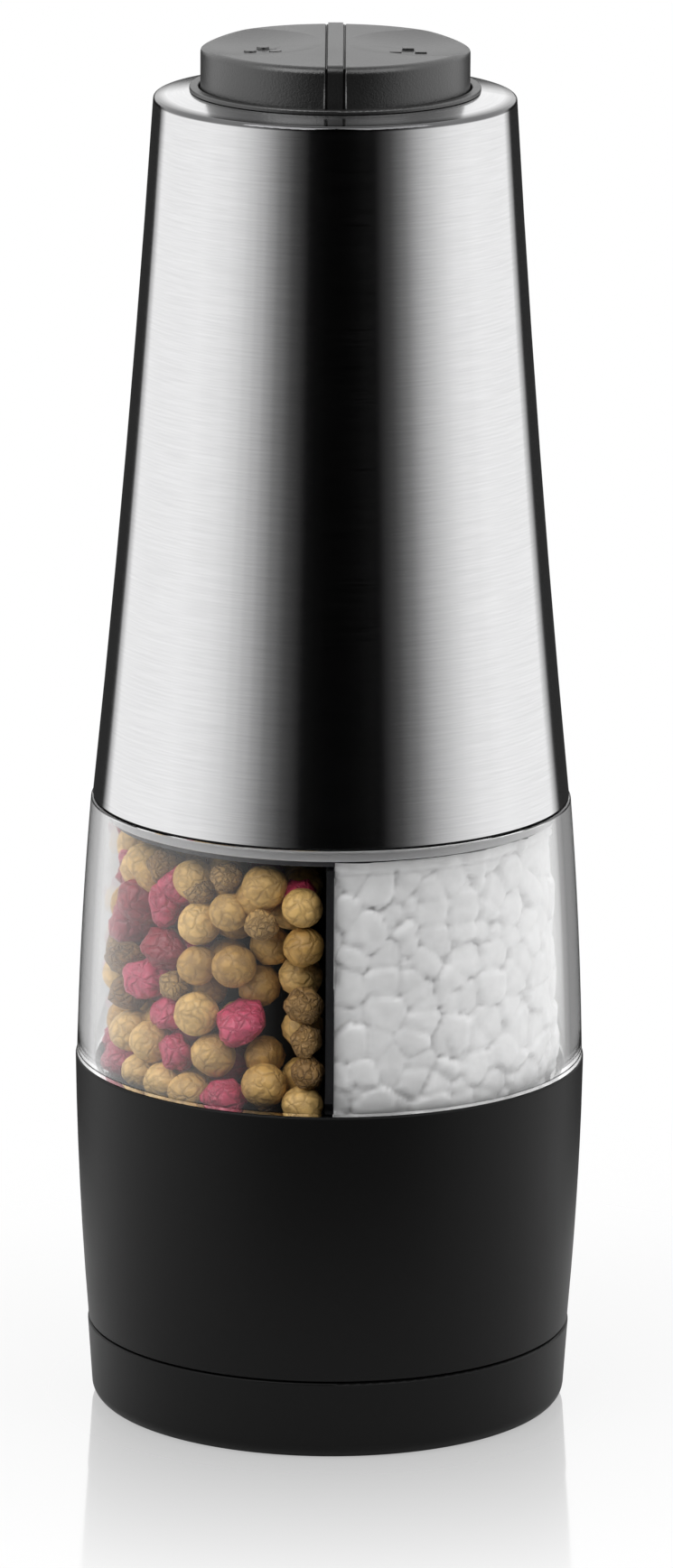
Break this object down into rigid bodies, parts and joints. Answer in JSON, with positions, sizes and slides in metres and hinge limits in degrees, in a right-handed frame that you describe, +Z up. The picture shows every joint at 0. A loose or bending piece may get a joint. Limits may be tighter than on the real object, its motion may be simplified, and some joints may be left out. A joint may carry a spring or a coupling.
{
  "type": "electric salt and pepper mill",
  "caption": "Upright twin mill: steel sleeve with half-moon push buttons, clear divided container, black grinder base with a pull-off cap and motor-driven ceramic burrs.",
  "frame": {"origin": "middle of the foot, on the table", "axes": "+Z up along the mill, -Y to the front, +X to the salt side"},
  "size_m": [0.075, 0.075, 0.203],
  "materials": {
    "steel": "brushed round the sleeve",
    "black_plastic": "fine matte",
    "button_plastic": "fine textured matte",
    "clear": "clear, polished",
    "divider": "smooth",
    "seal": "translucent silicone",
    "ceramic": "unglazed",
    "shaft": "turned",
    "grey_plastic": "moulded",
    "nylon": "moulded",
    "brass": "bright",
    "can": "zinc plated",
    "cell": "printed sleeve, bare",
    "board": "lacquered",
    "spring": "drawn wire",
    "contact": "nickel plated",
    "lead": "wire insulation",
    "screw": "zinc plated"
  },
  "bodies": {
    "mill_body": {"grinder_housing": "black_plastic", "container": "clear", "chamber_divider": "divider", "grinder_screws": "screw", "pepper_burr_holder": "grey_plastic", "salt_burr_holder": "grey_plastic", "pepper_burr_ring": "ceramic", "salt_burr_ring": "ceramic", "pepper_shaft_bush": "nylon", "salt_shaft_bush": "nylon"},
    "bottom_cap": {"base_cap": "black_plastic"},
    "drive_head": {"gear_case": "grey_plastic", "jar_seal": "seal", "gear_axles": "shaft", "motor_plate": "grey_plastic", "motor_cage": "grey_plastic", "case_screws": "screw", "pepper_motor": "can", "salt_motor": "can", "motor_end_caps": "nylon", "motor_terminals": "brass", "motor_leads": "lead", "battery_holder": "grey_plastic", "batteries": "cell", "battery_contacts": "contact", "battery_springs": "spring", "switch_board": "board", "board_screws": "screw", "switch_bodies": "grey_plastic"},
    "sleeve": {"steel_shell": "steel", "button_collar": "button_plastic", "button_tray": "black_plastic", "pepper_button_spring": "spring", "salt_button_spring": "spring"},
    "pepper_button_body": {"pepper_button": "button_plastic"},
    "pepper_switch_body": {"pepper_switch_plunger": "nylon"},
    "pepper_spindle": {"pepper_drive_shaft": "shaft", "pepper_shaft_clip": "spring", "pepper_burr_spring": "spring"},
    "pepper_burr": {"pepper_burr_cone": "ceramic"},
    "pepper_knob": {"pepper_adjust_knob": "black_plastic"},
    "pepper_output": {"pepper_output_gear": "nylon"},
    "pepper_idler": {"pepper_idler_gear": "nylon"},
    "pepper_pinion": {"pepper_motor_pinion": "brass"},
    "salt_button_body": {"salt_button": "button_plastic"},
    "salt_switch_body": {"salt_switch_plunger": "nylon"},
    "salt_spindle": {"salt_drive_shaft": "shaft", "salt_shaft_clip": "spring", "salt_burr_spring": "spring"},
    "salt_burr": {"salt_burr_cone": "ceramic"},
    "salt_knob": {"salt_adjust_knob": "black_plastic"},
    "salt_output": {"salt_output_gear": "nylon"},
    "salt_idler": {"salt_idler_gear": "nylon"},
    "salt_pinion": {"salt_motor_pinion": "brass"}
  },
  "joints": [
    {"name": "base_cap_pull", "type": "slide", "parent": "mill_body", "child": "bottom_cap", "axis": [0, 0, -1], "range_m": [0, 0.03]},
    {"name": "head_lift", "type": "slide", "parent": "mill_body", "child": "drive_head", "axis": [0, 0, 1], "range_m": [0, 0.06]},
    {"name": "sleeve_lift", "type": "slide", "parent": "drive_head", "child": "sleeve", "axis": [0, 0, 1], "range_m": [0, 0.11]},
    {"name": "pepper_button_press", "type": "slide", "parent": "sleeve", "child": "pepper_button_body", "axis": [0, 0, -1], "range_m": [0, 0.0012], "stiffness_N_per_m": 500, "springref_m": -0.002, "deforming": ["pepper_button_spring"]},
    {"name": "pepper_switch_travel", "type": "slide", "parent": "drive_head", "child": "pepper_switch_body", "axis": [0, 0, -1], "range_m": [0, 0.0012]},
    {"name": "pepper_spin", "type": "hinge", "parent": "mill_body", "child": "pepper_spindle", "pos_m": [-0.017, 0, 0.09], "axis": [0, 0, 1], "continuous": true},
    {"name": "pepper_burr_rise", "type": "slide", "parent": "pepper_spindle", "child": "pepper_burr", "axis": [0, 0, 1], "range_m": [-0.00058, 0.00058], "deforming": ["pepper_burr_spring"]},
    {"name": "pepper_knob_turn", "type": "hinge", "parent": "pepper_burr", "child": "pepper_knob", "pos_m": [-0.017, 0, 0.09], "axis": [0, 0, 1], "range_deg": [-300, 300]},
    {"name": "pepper_output_spin", "type": "hinge", "parent": "drive_head", "child": "pepper_output", "pos_m": [-0.017, 0, 0.09], "axis": [0, 0, 1], "continuous": true},
    {"name": "pepper_idler_spin", "type": "hinge", "parent": "drive_head", "child": "pepper_idler", "pos_m": [-0.01133, -0.01114, 0.098], "axis": [0, 0, 1], "continuous": true},
    {"name": "pepper_pinion_spin", "type": "hinge", "parent": "drive_head", "child": "pepper_pinion", "pos_m": [-0.01405, 0.00106, 0.1], "axis": [0, 0, 1], "continuous": true},
    {"name": "salt_button_press", "type": "slide", "parent": "sleeve", "child": "salt_button_body", "axis": [0, 0, -1], "range_m": [0, 0.0012], "stiffness_N_per_m": 500, "springref_m": -0.002, "deforming": ["salt_button_spring"]},
    {"name": "salt_switch_travel", "type": "slide", "parent": "drive_head", "child": "salt_switch_body", "axis": [0, 0, -1], "range_m": [0, 0.0012]},
    {"name": "salt_spin", "type": "hinge", "parent": "mill_body", "child": "salt_spindle", "pos_m": [0.017, 0, 0.09], "axis": [0, 0, 1], "continuous": true},
    {"name": "salt_burr_rise", "type": "slide", "parent": "salt_spindle", "child": "salt_burr", "axis": [0, 0, 1], "range_m": [-0.00058, 0.00058], "deforming": ["salt_burr_spring"]},
    {"name": "salt_knob_turn", "type": "hinge", "parent": "salt_burr", "child": "salt_knob", "pos_m": [0.017, 0, 0.09], "axis": [0, 0, 1], "range_deg": [-300, 300]},
    {"name": "salt_output_spin", "type": "hinge", "parent": "drive_head", "child": "salt_output", "pos_m": [0.017, 0, 0.09], "axis": [0, 0, 1], "continuous": true},
    {"name": "salt_idler_spin", "type": "hinge", "parent": "drive_head", "child": "salt_idler", "pos_m": [0.01133, 0.01114, 0.098], "axis": [0, 0, 1], "continuous": true},
    {"name": "salt_pinion_spin", "type": "hinge", "parent": "drive_head", "child": "salt_pinion", "pos_m": [0.01405, -0.00106, 0.1], "axis": [0, 0, 1], "continuous": true}
  ],
  "couplings": [
    {"joint": "pepper_output_spin", "follows": "pepper_spin", "ratio": 1},
    {"joint": "pepper_idler_spin", "follows": "pepper_spin", "ratio": -4},
    {"joint": "pepper_pinion_spin", "follows": "pepper_spin", "ratio": 16},
    {"joint": "pepper_knob_turn", "follows": "pepper_burr_rise", "rad_per_m": 8976},
    {"joint": "pepper_switch_travel", "follows": "pepper_button_press", "ratio": 1},
    {"joint": "salt_output_spin", "follows": "salt_spin", "ratio": 1},
    {"joint": "salt_idler_spin", "follows": "salt_spin", "ratio": -4},
    {"joint": "salt_pinion_spin", "follows": "salt_spin", "ratio": 16},
    {"joint": "salt_knob_turn", "follows": "salt_burr_rise", "rad_per_m": 8976},
    {"joint": "salt_switch_travel", "follows": "salt_button_press", "ratio": 1}
  ]
}
